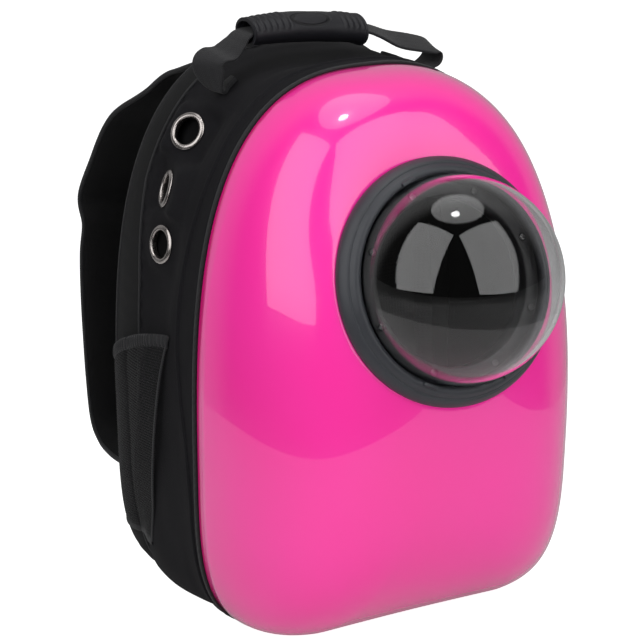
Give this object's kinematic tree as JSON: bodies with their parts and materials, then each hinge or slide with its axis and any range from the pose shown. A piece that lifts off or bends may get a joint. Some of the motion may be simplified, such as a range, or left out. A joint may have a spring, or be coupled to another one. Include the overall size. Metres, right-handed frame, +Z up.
{
  "type": "bubble pet carrier backpack",
  "caption": "Backpack pet carrier with a hard domed front shell, a clear bubble window, cloth sides with air eyelets and net pockets, a top handle and padded shoulder straps.",
  "frame": {"origin": "middle of the flat base of the body, on the floor", "axes": "+Z up, -Y out of the front shell, +X to the right as seen from the front"},
  "size_m": [0.3024, 0.4465, 0.4401],
  "materials": {
    "shell_plastic": "gloss",
    "window_plastic": "gloss",
    "ring_rubber": "satin",
    "body_cloth": "matte",
    "pocket_net": "matte",
    "nickel": "polished",
    "grip_rubber": "matte",
    "lock_plastic": "satin"
  },
  "bodies": {
    "root": {"shell": "shell_plastic", "window_ring": "ring_rubber", "bubble_dome": "window_plastic", "ring_screw_1": "nickel", "ring_screw_2": "nickel", "ring_screw_3": "nickel", "ring_screw_4": "nickel", "ring_screw_5": "nickel", "ring_screw_6": "nickel", "ring_screw_7": "nickel", "ring_screw_8": "nickel", "edge_binding": "body_cloth", "front_strip": "body_cloth", "gusset_left": "body_cloth", "gusset_right": "body_cloth", "rear_band": "body_cloth", "back_panel": "body_cloth", "eyelet_left_upper": "nickel", "eyelet_left_middle": "nickel", "eyelet_left_lower": "nickel", "eyelet_right_upper": "nickel", "eyelet_right_middle": "nickel", "eyelet_right_lower": "nickel", "mesh_pocket_left": "pocket_net", "mesh_pocket_right": "pocket_net", "handle_webbing": "body_cloth", "handle_grip": "grip_rubber", "shoulder_strap_left": "body_cloth", "ladder_lock_left": "lock_plastic", "strap_tape_left": "body_cloth", "shoulder_strap_right": "body_cloth", "ladder_lock_right": "lock_plastic", "strap_tape_right": "body_cloth"}
  },
  "joints": []
}
